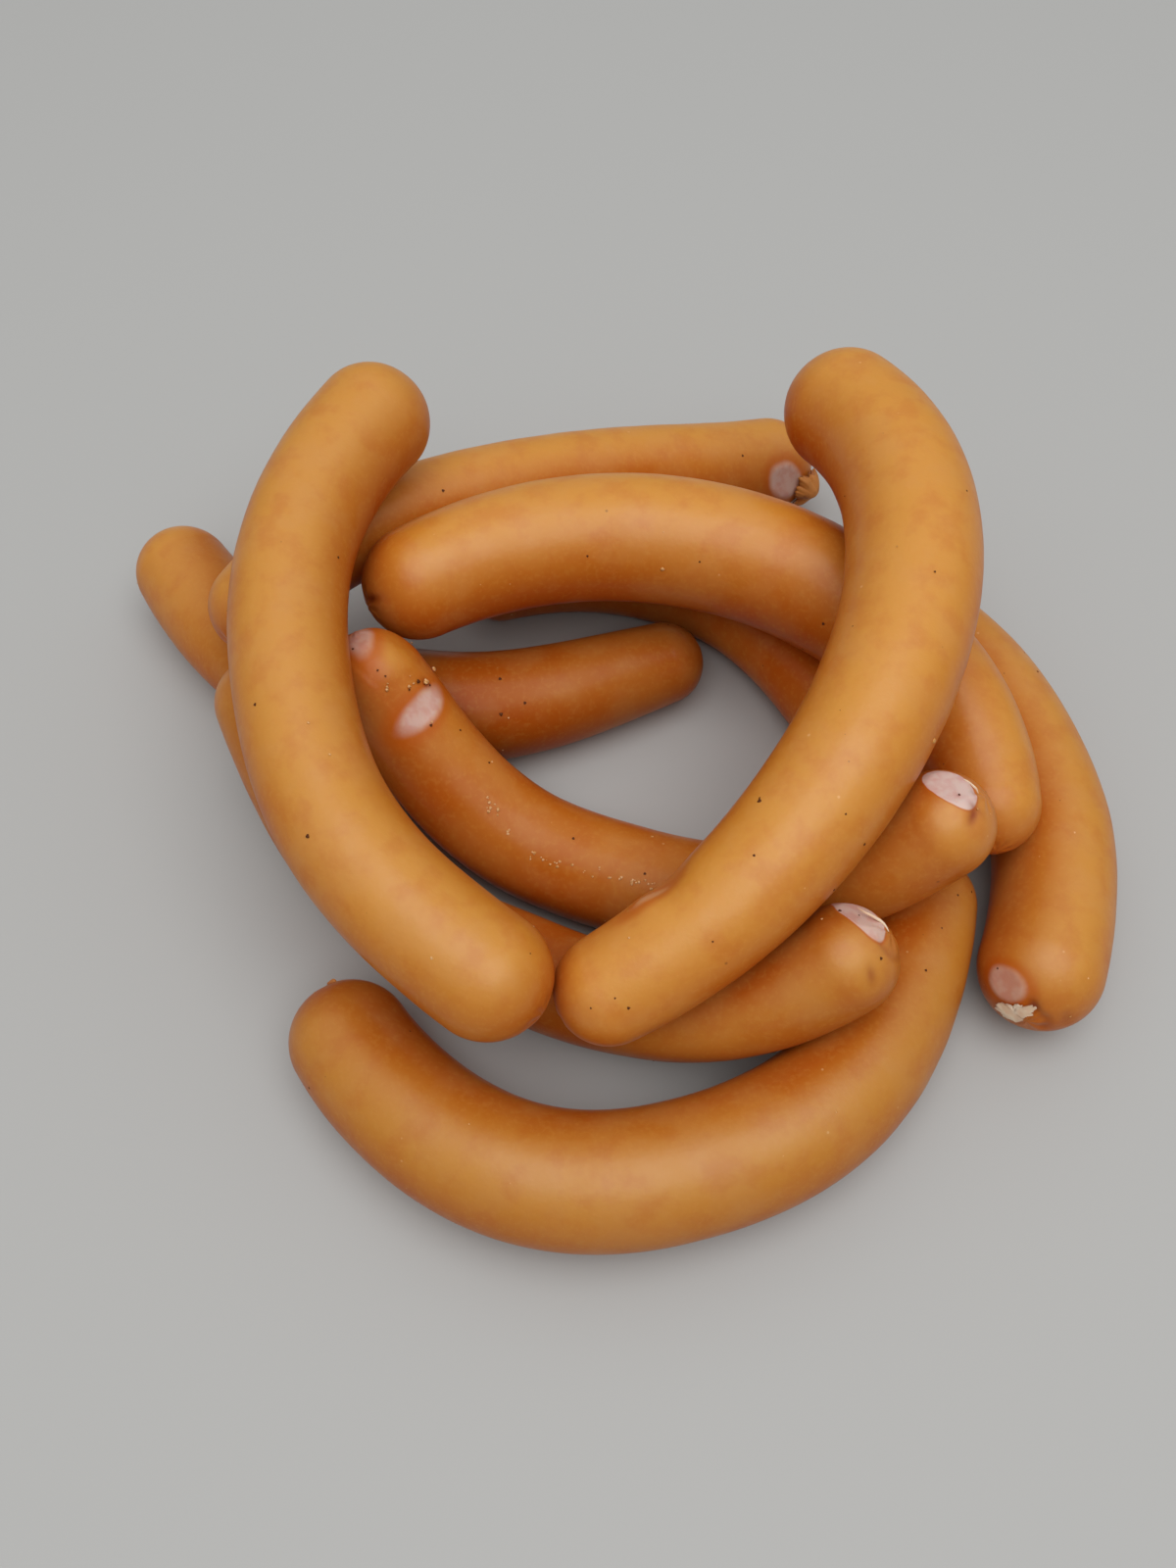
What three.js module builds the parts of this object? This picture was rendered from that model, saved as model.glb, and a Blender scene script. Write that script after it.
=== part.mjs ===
// Ten plump, skinned sausage links lying in a loose ring-shaped heap.
// Millimetres, +Z up. The heap stands on z = 0, and x = y = 0 is the middle of its footprint.
// +X is the right-hand side and -Y the front, seen from where the long curved link lies nearest.

import * as THREE from "three";

// Driving dimensions.
// at:       the middle of the link's length, seen from above, and the height of its centreline there
// heading:  which way the link runs at its middle, in degrees from +X, anticlockwise
// lean:     how steeply the link's plane rises towards +X and towards +Y, in degrees
// length:   tip to tip along the bend, seen from above
// bend:     how far each fifth of the link turns, in degrees, anticlockwise positive
// diameter: at the start, the middle and the end
const LINKS = [
  { name: "left_low_link", at: [-66, 20.5, 15.5], heading: -10, lean: [-1.5, -1.5],
    length: 179, bend: [9, 27, 18, 21, 3], diameter: [27, 31, 22.5] },
  { name: "inner_low_link", at: [28.5, 55, 13], heading: -37.5, lean: [1.5, 1.5],
    length: 162, bend: [-20, -21, -26, -13, -12], diameter: [23.5, 25, 24.5] },
  { name: "front_link", at: [12.5, -103.5, 16.5], heading: 15.5, lean: [0.5, -3],
    length: 211, bend: [23, 39, 17, 38, 12], diameter: [28.5, 30.5, 27] },
  { name: "right_link", at: [102, 6.5, 14.5], heading: 105, lean: [-3, -1],
    length: 158, bend: [11, 20, 14, 20, 16], diameter: [29.5, 29.5, 28.5] },
  { name: "back_link", at: [-34, 80.5, 33.5], heading: -154, lean: [-18.5, 11],
    length: 188, bend: [-7, 8, 5, 10, 24], diameter: [27.5, 25.5, 24.5] },
  { name: "back_upper_link", at: [32, 46, 43.5], heading: -20.5, lean: [-2.5, 6.5],
    length: 208, bend: [-20, -20, -24, -24, -32], diameter: [29, 33, 24.5] },
  { name: "middle_link", at: [-3.5, -31.5, 14], heading: -18.5, lean: [32, 61],
    length: 169, bend: [14, 18, 1, 19, 13], diameter: [25.5, 27.5, 25] },
  { name: "middle_front_link", at: [-36, -51.5, 13.5], heading: -26.5, lean: [27, 41],
    length: 192, bend: [13, 28, -1, 18, 28], diameter: [25, 25.5, 25] },
  { name: "top_right_link", at: [54.5, -10.5, 68.5], heading: -114, lean: [24, -1.5],
    length: 208, bend: [-27, -19, -16, -16, -20], diameter: [31.5, 30.5, 24.5] },
  { name: "top_left_link", at: [-78.5, -9.5, 64], heading: -77.5, lean: [-8, 6],
    length: 190, bend: [17, 23, 9, 28, 11], diameter: [29, 27, 28] },
];

// Scraps of torn casing left on the blunt start of two links.
// toward:    the way out from the middle of the cap to the middle of the scrap
// turn:      how far its width is turned up from level, in degrees
// width, height: across the scrap, along its width and square to it
// thickness: at its middle, and it thins towards the rim
// curl:      how far its rim stands off the skin
const SCRAPS = [
  { name: "right_link_casing", link: "right_link", toward: [-0.59, -0.79, 0.18],
    turn: 50, width: 9.6, height: 4.6, thickness: 0.6, curl: 0.5 },
  { name: "back_link_casing", link: "back_link", toward: [0.8, -0.58, -0.1],
    turn: 0, width: 10.5, height: 12.5, thickness: 3.6, curl: 0.3 },
];

const GROUND_FLAT = 0.4;   // how far the ground flattens a link that lies on it
const SCRAP_GAP = 0.35;    // between a scrap of casing and the skin under it
const SCRAP_RIM = 0.3;     // the thickness at a scrap's rim
const SCRAP_RAGGED = 0.16; // how far the torn rim wanders, as a share of the scrap's radius

// How finely the surfaces are divided.
const SIDES = 24;
const CAP_RINGS = 4;
const BODY_RINGS = 20;
const STEPS_PER_RING = 4;
const SCRAP_SIDES = 18;
const SCRAP_RINGS = 3;

const SMOKED_SKIN = { color: 0xc48a48, roughness: 0.42, metalness: 0 };
const TORN_CASING = { color: 0xd9b595, roughness: 0.6, metalness: 0 };

const radians = THREE.MathUtils.degToRad;

// A value read between the middles of five equal stretches, and held beyond the first and the last.
function betweenFifths(values, s) {
  const place = Math.min(Math.max(s * values.length - 0.5, 0), values.length - 1);
  const lower = Math.min(Math.floor(place), values.length - 2);
  return values[lower] + (values[lower + 1] - values[lower]) * (place - lower);
}

// A smooth radius through the three diameters: a parabola in s, from 0 at the start to 1 at the end.
function radiusAt(diameter, s) {
  const [start, middle, end] = diameter.map((d) => d / 2);
  return start * (1 - s) * (1 - 2 * s) + 4 * middle * s * (1 - s) + end * s * (2 * s - 1);
}

// The centreline between the two caps, as one ring of centre, heading and radius for each step.
// The bend is summed up along the length, then the whole curve is moved so that its middle is at `at`,
// and each point gets the height of the leaning plane above it.
function centreline(link) {
  const steps = BODY_RINGS * STEPS_PER_RING;
  const middle = steps / 2;
  const between = link.length - link.diameter[0] / 2 - link.diameter[2] / 2;
  const turnRate = link.bend.map((b) => radians(b) * link.bend.length);
  const points = [{ x: 0, y: 0, angle: 0 }];
  for (let i = 1; i <= steps; i++) {
    const last = points[i - 1];
    const turn = betweenFifths(turnRate, (i - 0.5) / steps) / steps;
    const angle = last.angle + turn;
    points.push({ angle });
  }
  const turned = radians(link.heading) - points[middle].angle;
  points.forEach((p) => { p.angle += turned; });
  for (let i = 1; i <= steps; i++) {
    const half = (points[i - 1].angle + points[i].angle) / 2;
    points[i].x = points[i - 1].x + (Math.cos(half) * between) / steps;
    points[i].y = points[i - 1].y + (Math.sin(half) * between) / steps;
  }
  const { x: midX, y: midY } = points[middle];
  const slopeX = Math.tan(radians(link.lean[0]));
  const slopeY = Math.tan(radians(link.lean[1]));
  return points.filter((p, i) => i % STEPS_PER_RING === 0).map((p, ring) => {
    const dx = p.x - midX;
    const dy = p.y - midY;
    const rise = slopeX * dx + slopeY * dy;
    const run = new THREE.Vector3(Math.cos(p.angle), Math.sin(p.angle), 0);
    run.z = slopeX * run.x + slopeY * run.y;
    return {
      centre: new THREE.Vector3(link.at[0] + dx, link.at[1] + dy, link.at[2] + rise),
      run: run.normalize(),
      radius: radiusAt(link.diameter, ring / BODY_RINGS),
    };
  });
}

// The rings of a whole link: a half-round cap, the body and a second cap, without the two tips.
function linkRings(body) {
  const first = body[0];
  const last = body[body.length - 1];
  const cap = (end, back) => {
    const rings = [];
    for (let i = 1; i < CAP_RINGS; i++) {
      const angle = (i / CAP_RINGS) * (Math.PI / 2);
      rings.push({
        centre: end.centre.clone().addScaledVector(end.run, back * end.radius * Math.cos(angle)),
        run: end.run,
        radius: end.radius * Math.sin(angle),
      });
    }
    return rings;
  };
  return [...cap(first, -1), ...body, ...cap(last, 1).reverse()];
}

function closedGeometry(points, faces) {
  const geometry = new THREE.BufferGeometry();
  geometry.setAttribute("position", new THREE.Float32BufferAttribute(points.flatMap((p) => p.toArray()), 3));
  geometry.setIndex(faces.flat());
  geometry.computeVertexNormals();
  return geometry;
}

// The skin of a link: round sections across the rings, closed by a point at each tip.
// What would sink into the ground is pressed flat, GROUND_FLAT above the lowest line of the link.
function linkGeometry(body) {
  const rings = linkRings(body);
  const points = [];
  for (const ring of rings) {
    const side = new THREE.Vector3(-ring.run.y, ring.run.x, 0).normalize();
    const up = new THREE.Vector3().crossVectors(ring.run, side);
    for (let i = 0; i < SIDES; i++) {
      const angle = ((i + 0.5) / SIDES) * 2 * Math.PI;
      points.push(ring.centre.clone()
        .addScaledVector(up, ring.radius * Math.cos(angle))
        .addScaledVector(side, ring.radius * Math.sin(angle)));
    }
  }
  const first = body[0];
  const last = body[body.length - 1];
  const startTip = points.push(first.centre.clone().addScaledVector(first.run, -first.radius)) - 1;
  const endTip = points.push(last.centre.clone().addScaledVector(last.run, last.radius)) - 1;
  for (const p of points) {
    p.z = Math.max(p.z, GROUND_FLAT) - GROUND_FLAT;
  }
  const faces = [];
  const lastRing = (rings.length - 1) * SIDES;
  for (let i = 0; i < SIDES; i++) {
    const next = (i + 1) % SIDES;
    faces.push([startTip, i, next], [endTip, lastRing + next, lastRing + i]);
    for (let ring = 0; ring < rings.length - 1; ring++) {
      const a = ring * SIDES + i;
      const b = ring * SIDES + next;
      faces.push([a, a + SIDES, b], [b, a + SIDES, b + SIDES]);
    }
  }
  return closedGeometry(points, faces);
}

// A scrap of casing on the start cap: a ragged oval laid over the round end.
// A point at angle t and share q of the way to the rim lies along toward + along and square to the
// scrap's width. Its distance from the middle of the cap grows towards the rim by curl times q squared,
// and the outer layer lies over the inner one by a thickness that falls with q squared.
function scrapGeometry(scrap, end) {
  const toward = new THREE.Vector3(...scrap.toward).normalize();
  const turn = radians(scrap.turn);
  const across = new THREE.Vector3(-toward.y, toward.x, 0).normalize().applyAxisAngle(toward, turn);
  const upCap = new THREE.Vector3().crossVectors(toward, across);
  const point = (t, q, outer) => {
    const rim = q * (1 + SCRAP_RAGGED * (Math.sin(3 * t + 1) + 0.6 * Math.sin(7 * t)));
    const sideways = ((scrap.width / 2) * rim * Math.cos(t)) / end.radius;
    const upwards = ((scrap.height / 2) * rim * Math.sin(t)) / end.radius;
    const way = toward.clone().addScaledVector(across, sideways).addScaledVector(upCap, upwards).normalize();
    const lift = outer * (SCRAP_RIM + (scrap.thickness - SCRAP_RIM) * (1 - q * q));
    const p = end.centre.clone().addScaledVector(way, end.radius + SCRAP_GAP + lift + scrap.curl * q * q);
    p.z -= GROUND_FLAT;
    return p;
  };
  const points = [];
  const faces = [];
  const faceCount = 1 + SCRAP_RINGS * SCRAP_SIDES;
  for (const outer of [1, 0]) {
    points.push(point(0, 0, outer));
    for (let ring = 1; ring <= SCRAP_RINGS; ring++) {
      for (let i = 0; i < SCRAP_SIDES; i++) {
        points.push(point((i / SCRAP_SIDES) * 2 * Math.PI, ring / SCRAP_RINGS, outer));
      }
    }
  }
  const at = (layer, ring, i) => layer * faceCount + 1 + (ring - 1) * SCRAP_SIDES + (i % SCRAP_SIDES);
  for (let i = 0; i < SCRAP_SIDES; i++) {
    faces.push([0, at(0, 1, i), at(0, 1, i + 1)], [faceCount, at(1, 1, i + 1), at(1, 1, i)]);
    for (let ring = 1; ring < SCRAP_RINGS; ring++) {
      const outer = [at(0, ring, i), at(0, ring + 1, i), at(0, ring, i + 1), at(0, ring + 1, i + 1)];
      const inner = [at(1, ring, i), at(1, ring + 1, i), at(1, ring, i + 1), at(1, ring + 1, i + 1)];
      faces.push([outer[0], outer[1], outer[2]], [outer[2], outer[1], outer[3]]);
      faces.push([inner[0], inner[2], inner[1]], [inner[2], inner[3], inner[1]]);
    }
    const rim = [at(0, SCRAP_RINGS, i), at(0, SCRAP_RINGS, i + 1)];
    const under = [at(1, SCRAP_RINGS, i), at(1, SCRAP_RINGS, i + 1)];
    faces.push([rim[0], under[0], rim[1]], [rim[1], under[0], under[1]]);
  }
  return closedGeometry(points, faces);
}

function skinMesh(name, geometry, finish) {
  const mesh = new THREE.Mesh(geometry, new THREE.MeshStandardMaterial(finish));
  mesh.name = name;
  return mesh;
}

const heap = new THREE.Group();
const centrelines = {};
for (const link of LINKS) {
  centrelines[link.name] = centreline(link);
  heap.add(skinMesh(link.name, linkGeometry(centrelines[link.name]), SMOKED_SKIN));
}
for (const scrap of SCRAPS) {
  heap.add(skinMesh(scrap.name, scrapGeometry(scrap, centrelines[scrap.link][0]), TORN_CASING));
}

// Centre the footprint on the origin and set the lowest skin on the ground.
const box = new THREE.Box3().setFromObject(heap);
const middle = box.getCenter(new THREE.Vector3());
heap.position.set(-middle.x, -middle.y, -box.min.z);

const stringOfLinks = new THREE.Group();
stringOfLinks.add(heap);

export default stringOfLinks;
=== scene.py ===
"""Ten smoked sausage links in a loose ring-shaped heap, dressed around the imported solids.

Every link is one bent centreline with a round section, worked out in numpy as a grid of rings and sides.
Lengths in the tables and the shape functions are millimetres; the meshes are in metres.
"""

import math
from typing import NamedTuple

import bpy
import numpy as np
from bpy.props import FloatProperty, FloatVectorProperty, IntProperty, PointerProperty
from bpy.types import Operator, Panel, PropertyGroup
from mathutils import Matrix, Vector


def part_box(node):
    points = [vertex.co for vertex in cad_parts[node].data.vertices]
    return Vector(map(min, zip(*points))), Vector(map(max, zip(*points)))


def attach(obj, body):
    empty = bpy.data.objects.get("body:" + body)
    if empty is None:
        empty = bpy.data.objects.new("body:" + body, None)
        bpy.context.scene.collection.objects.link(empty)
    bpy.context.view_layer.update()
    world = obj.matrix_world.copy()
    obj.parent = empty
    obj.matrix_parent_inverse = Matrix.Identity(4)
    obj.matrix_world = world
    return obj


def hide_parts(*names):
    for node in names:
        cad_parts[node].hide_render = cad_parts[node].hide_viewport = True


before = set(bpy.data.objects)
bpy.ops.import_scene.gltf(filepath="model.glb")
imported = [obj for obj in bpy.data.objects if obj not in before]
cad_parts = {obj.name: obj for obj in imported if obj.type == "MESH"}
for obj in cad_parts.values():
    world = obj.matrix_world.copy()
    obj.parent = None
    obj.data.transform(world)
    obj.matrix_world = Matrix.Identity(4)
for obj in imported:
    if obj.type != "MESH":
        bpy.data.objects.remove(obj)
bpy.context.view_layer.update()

bl_info = {
    "name": "Heap of Sausage Links",
    "version": (1, 0, 0),
    "blender": (4, 5, 0),
    "location": "View3D > Sidebar > Sausages",
    "description": "Builds the skin, marks, torn casing and pepper of a heap of smoked sausage links",
    "category": "Add Mesh",
}

MM = 0.001
SEED = 7


class Link(NamedTuple):
    """One link, in millimetres and degrees.

    at is the middle of its length seen from above, with the height there; heading is its way there;
    lean is its plane's rise towards +X and +Y; bend is the turn of each fifth; diameter is given at the
    start, the middle and the end.
    """

    at: tuple
    heading: float
    lean: tuple
    length: float
    bend: tuple
    diameter: tuple


LINKS = {
    "left_low_link": Link((-66, 20.5, 15.5), -10, (-1.5, -1.5), 179, (9, 27, 18, 21, 3), (27, 31, 22.5)),
    "inner_low_link": Link(
        (28.5, 55, 13), -37.5, (1.5, 1.5), 162, (-20, -21, -26, -13, -12), (23.5, 25, 24.5)),
    "front_link": Link((12.5, -103.5, 16.5), 15.5, (0.5, -3), 211, (23, 39, 17, 38, 12), (28.5, 30.5, 27)),
    "right_link": Link((102, 6.5, 14.5), 105, (-3, -1), 158, (11, 20, 14, 20, 16), (29.5, 29.5, 28.5)),
    "back_link": Link((-34, 80.5, 33.5), -154, (-18.5, 11), 188, (-7, 8, 5, 10, 24), (27.5, 25.5, 24.5)),
    "back_upper_link": Link(
        (32, 46, 43.5), -20.5, (-2.5, 6.5), 208, (-20, -20, -24, -24, -32), (29, 33, 24.5)),
    "middle_link": Link((-3.5, -31.5, 14), -18.5, (32, 61), 169, (14, 18, 1, 19, 13), (25.5, 27.5, 25)),
    "middle_front_link": Link(
        (-36, -51.5, 13.5), -26.5, (27, 41), 192, (13, 28, -1, 18, 28), (25, 25.5, 25)),
    "top_right_link": Link(
        (54.5, -10.5, 68.5), -114, (24, -1.5), 208, (-27, -19, -16, -16, -20), (31.5, 30.5, 24.5)),
    "top_left_link": Link((-78.5, -9.5, 64), -77.5, (-8, 6), 190, (17, 23, 9, 28, 11), (29, 27, 28)),
}

GROUND_FLAT = 0.4


class ToneAndShade(NamedTuple):
    """How light a link's smoked colour is beside the lightest ones', and how strongly the neighbours
    that hide its sky make it redder and darker, as painted shade."""

    light: float
    redden: float
    darken: float


# Each link's own tone, and how much painted shade its neighbours lay on it.
TONE_AND_SHADE = {
    "left_low_link": ToneAndShade(0.97, 0.85, 0.45),
    "inner_low_link": ToneAndShade(1.0, 0.85, 0.0),
    "front_link": ToneAndShade(0.84, 0.75, 0.0),
    "right_link": ToneAndShade(0.94, 0.55, 0.05),
    "back_link": ToneAndShade(0.98, 0.45, 0.0),
    "back_upper_link": ToneAndShade(1.0, 0.45, 0.0),
    "middle_link": ToneAndShade(0.97, 0.9, 0.2),
    "middle_front_link": ToneAndShade(0.9, 1.0, 0.3),
    "top_right_link": ToneAndShade(1.0, 0.7, 0.0),
    "top_left_link": ToneAndShade(0.94, 0.7, 0.0),
}


class TouchMark(NamedTuple):
    """A pale flat oval where a link hung against another one in the smoke.

    reach is measured over the skin from the start tip and around in degrees from the top line to the
    left; half is half the oval's length and width; turn is from the link's run, anticlockwise seen from
    outside; flat is how deep it is pressed, soft how wide its edge fades and tone how pale it is, 0 to 1.
    """

    link: str
    reach: float
    around: float
    half: tuple
    turn: float
    flat: float
    soft: float
    tone: float


TOUCH_MARKS = [
    TouchMark("middle_link", 195.5, 26, (7.0, 4.7), -50, 1.0, 0.35, 1.0),
    TouchMark("middle_link", 5.2, -4, (6.8, 3.6), -23, 0.3, 3.0, 0.5),
    TouchMark("middle_link", 30.3, 8, (3.9, 8.4), 10, 0.3, 3.0, 0.8),
    TouchMark("middle_front_link", 209.5, 53, (7.7, 4.7), -43, 1.0, 0.4, 0.85),
    TouchMark("right_link", 10.7, 51, (5.4, 4.6), 63, 0.5, 2.2, 0.5),
    TouchMark("back_link", 22.8, 69, (7.0, 5.3), -43, 0.8, 2.6, 0.75),
    TouchMark("top_right_link", 190.0, -48, (5.0, 2.0), 0, 0.1, 2.5, 0.22),
]


class Dent(NamedTuple):
    """A small oval hollow: half its length and width, its turn, its depth and how much painted shade is laid
    in it, 0 to 1.
    Below 0 the depth is the height of a swelling."""

    link: str
    reach: float
    around: float
    half: tuple
    turn: float
    depth: float
    dark: float


DENTS = [
    Dent("right_link", 5.4, 3, (2.2, 1.5), 20, 0.7, 0.9),
    Dent("middle_link", 197.0, -42, (2.4, 1.1), 20, 0.25, 0.9),
    Dent("middle_link", 198.6, -36, (1.0, 1.9), 10, 0.15, 0.6),
    Dent("middle_link", 25.1, 31, (1.3, 1.3), 0, 0.2, 0.75),
    Dent("middle_link", 14.5, 58, (8.0, 8.0), 0, 2.1, 0.0),
    Dent("middle_front_link", 204.6, -52, (1.1, 2.2), -30, 0.2, 0.55),
    Dent("top_right_link", 184.5, -55, (5.0, 6.0), 0, 1.2, 0.0),
    Dent("top_right_link", 192.0, -45, (3.0, 5.0), 0, -0.5, 0.0),
    Dent("back_upper_link", 3.6, -16, (1.2, 4.4), 60, 0.5, 0.9),
    Dent("front_link", 6.0, 5, (2.4, 1.2), 30, 0.3, 0.45),
]


class TipFold(NamedTuple):
    """A crease in the gathered skin round a tip: its angle from the tip, where it lies around the tip,
    half of how far it runs round, its width and its depth."""

    link: str
    at_end: bool
    polar: float
    around: float
    half_span: float
    width: float
    depth: float


TIP_FOLDS = [
    TipFold("right_link", False, 17, -60, 75, 2.4, 0.45),
    TipFold("right_link", False, 35, -70, 30, 3.0, 0.25),
    TipFold("middle_front_link", True, 27, -85, 75, 2.2, 0.3),
    TipFold("middle_link", True, 16, 40, 50, 1.6, 0.25),
    TipFold("back_link", False, 52, 95, 35, 2.0, 0.4),
]


class Scrap(NamedTuple):
    """Torn casing on a link's start cap, as in the solid.

    toward is the way out to its middle, turn how far its width is turned up from level and thickness is
    at its middle; its rim stands off by curl; crumple is how far it crumples.
    """

    link: str
    toward: tuple
    turn: float
    width: float
    height: float
    thickness: float
    curl: float
    crumple: float
    material: str


SCRAPS = {
    "right_link_casing": Scrap(
        "right_link", (-0.59, -0.79, 0.18), 50, 9.6, 4.6, 0.6, 0.5, 0.3, "torn_casing"),
    "back_link_casing": Scrap(
        "back_link", (0.8, -0.58, -0.1), 0, 10.5, 12.5, 3.6, 0.3, 0.7, "browned_casing"),
}
SCRAP_GAP = 0.35
SCRAP_RIM = 0.3
SCRAP_RAGGED = 0.16
# How many small teeth run round a scrap's rim, and how deep they are as a share of its size.
SCRAP_TEARS = ((11, 0.05), (17, 0.05), (29, 0.035), (41, 0.02))


class Rim(NamedTuple):
    """A thin torn edge of casing that stands up along a path over a cap, given as directions from the
    cap's centre."""

    link: str
    at_end: bool
    way: tuple
    height: float
    material: str


RIMS = {
    "middle_front_link_rim": Rim(
        "middle_front_link", True,
        ((0.19, 0.68, 0.71), (0.32, 0.56, 0.77), (0.5, 0.46, 0.73), (0.63, 0.38, 0.67), (0.7, 0.23, 0.67)),
        0.6, "torn_casing"),
    "middle_link_rim": Rim(
        "middle_link", True,
        ((0.3, 0.46, 0.83), (0.43, 0.37, 0.83), (0.5, 0.27, 0.82), (0.52, 0.16, 0.84)),
        0.55, "torn_casing"),
    "front_link_nub": Rim(
        "front_link", False,
        ((-0.4, 0.81, 0.42), (-0.32, 0.85, 0.42), (-0.25, 0.87, 0.42)),
        1.3, "browned_casing"),
}


# A standing edge's width as a share of its height.
RIM_WIDTH = 0.72


class Crumb(NamedTuple):
    """A crumb or a pore at a place on a link, with its radius and colour."""

    link: str
    reach: float
    around: float
    radius: float
    kind: str


CRUMBS = [
    Crumb("middle_link", 23.6, 22, 0.5, "dark"),
    Crumb("middle_link", 25.0, 31, 0.75, "light"),
    Crumb("middle_link", 26.3, 33, 0.3, "dark"),
    Crumb("middle_link", 24.6, 67, 0.6, "light"),
    Crumb("middle_link", 23.2, 9, 0.4, "light"),
    Crumb("middle_link", 23.9, 7, 0.26, "dark"),
    Crumb("middle_link", 34.7, 3, 0.36, "dark"),
    Crumb("middle_link", 34.2, 6, 0.3, "light"),
    Crumb("middle_link", 41.0, 28, 0.28, "dark"),
    Crumb("middle_link", 53.4, 26, 0.32, "dark"),
    Crumb("middle_link", 53.9, 30, 0.3, "light"),
    Crumb("middle_link", 54.8, 65, 0.3, "dark"),
    Crumb("middle_link", 15.8, -11, 0.26, "dark"),
    Crumb("middle_link", 17.9, -7, 0.24, "dark"),
    Crumb("middle_link", 7.7, -29, 0.3, "dark"),
    Crumb("middle_link", 108.8, -16, 0.34, "dark"),
    Crumb("middle_link", 88.3, -2, 0.34, "dark"),
    Crumb("middle_link", 196.6, 2, 0.26, "dark"),
    Crumb("middle_front_link", 171.1, -53, 0.34, "dark"),
    Crumb("middle_front_link", 204.9, 44, 0.4, "dark"),
    Crumb("middle_front_link", 208.8, -47, 0.34, "dark"),
    Crumb("right_link", 14.6, 57, 0.3, "dark"),
    Crumb("left_low_link", 164.7, -46, 0.3, "dark"),
    Crumb("left_low_link", 129.0, -7, 0.42, "dark"),
    Crumb("left_low_link", 134.1, -36, 0.38, "dark"),
    Crumb("left_low_link", 128.2, -44, 0.48, "dark"),
    Crumb("back_link", 14.2, 87, 0.55, "light"),
    Crumb("back_link", 37.0, 31, 0.34, "dark"),
    Crumb("back_link", 129.4, 29, 0.42, "dark"),
    Crumb("front_link", 181.3, -14, 0.3, "dark"),
    Crumb("front_link", 189.6, -2, 0.28, "dark"),
    Crumb("front_link", 193.3, -18, 0.28, "dark"),
    Crumb("back_upper_link", 88.4, -67, 0.5, "light"),
    Crumb("back_upper_link", 139.4, -64, 0.34, "dark"),
    Crumb("back_upper_link", 98.8, -55, 0.26, "dark"),
    Crumb("top_right_link", 158.1, -33, 0.6, "dark"),
    Crumb("top_right_link", 157.5, -35, 0.45, "dark"),
    Crumb("top_right_link", 138.0, -43, 0.4, "dark"),
    Crumb("top_right_link", 168.0, 0, 0.32, "dark"),
    Crumb("top_right_link", 205.6, 46, 0.34, "dark"),
    Crumb("top_right_link", 212.2, 29, 0.28, "dark"),
    Crumb("top_right_link", 206.8, 31, 0.22, "dark"),
    Crumb("top_right_link", 150.1, 34, 0.24, "dark"),
    Crumb("top_right_link", 125.8, 75, 0.6, "light"),
    Crumb("top_left_link", 71.8, 62, 0.34, "dark"),
    Crumb("top_left_link", 111.3, -35, 0.36, "dark"),
    Crumb("top_left_link", 141.6, -36, 0.45, "dark"),
]


class Flecks(NamedTuple):
    """A line of small dried flecks on a link, which also paint glints along its sheen: from and to which
    reach and angle around, how far they stray from it in degrees, and how many they are."""

    link: str
    reach: tuple
    around: tuple
    stray: float
    count: int


# Lines of flecks that also paint glints along the middle link's sheen.
FLECKS = [
    Flecks("middle_link", (74, 113), (-35, -24), 3.5, 34),
    Flecks("middle_link", (59, 73), (-10, -23), 3.0, 12),
    Flecks("middle_link", (18, 24), (0, 25), 10, 7),
]

# How finely the skins are divided.
BODY_RINGS = 240
CAP_RINGS = 38
SIDES = 128

# How flat a crumb of each kind lies, and the smallest and largest fleck and speck.
CRUMB_FLATNESS = {"dark": 0.3, "light": 0.6}
FLECK_FLATNESS = 0.5
FLECK_RADII = (0.15, 0.42)
SPECK_FLATNESS = 0.3
SPECK_RADII = (0.16, 0.36)
DARK_SPECK_SHARE = 0.55

# Specks lie no lower than this, and keep this far from the tips.
CLEAR_OF_FLOOR = 1.5
CLEAR_OF_TIP = 4

# The camera's place over the table of places.
CAMERA_AT = (-12, -185, 315)

# The floor and the lamp, in metres and degrees.
FLOOR_HALF = 3.0
LAMP_SIZE = 1.6
LAMP_AT = (0.15, -0.35, 1.5)
LAMP_TURN = (13, 6, 0)


def linear(color):
    """An 8-bit screen colour as linear red, green, blue."""
    share = np.array(color) / 255
    low, high = share / 12.92, ((share + 0.055) / 1.055) ** 2.4
    return tuple(float(c) for c in np.where(share <= 0.04045, low, high))


def smoothstep(value):
    """0 below 0 and 1 above 1, with 3 v squared less 2 v cubed between."""
    value = np.clip(value, 0, 1)
    return value * value * (3 - 2 * value)


# Shapes of the links.

# Stands for a point that an oval mark can't reach.
FAR_OUTSIDE = -99.0

# How far a touch mark's edge wanders.
MARK_WOBBLE = 0.35

# How much painted shade lies in a tip fold, and over how many degrees it fades out at both ends.
FOLD_PAINTED_SHADE = 0.3
FOLD_FADE = 25

# Where the pleats lie around a tip, as an angle from it in degrees, how wide their band is and how deep
# they are.
PLEAT_POLAR = 13
PLEAT_SPREAD = 9
PLEAT_DEPTH = 0.12

# How far from a tip its deeper colour begins, and over how much it comes in.
TIP_REACH = 16
TIP_FADE = 14

# A neighbour counts as hiding the sky from this sine below a point's level, fully from as far above it.
LEVEL_FADE = 0.35
# Every which ring of a neighbour is counted.
NEIGHBOUR_STRIDE = 8


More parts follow.
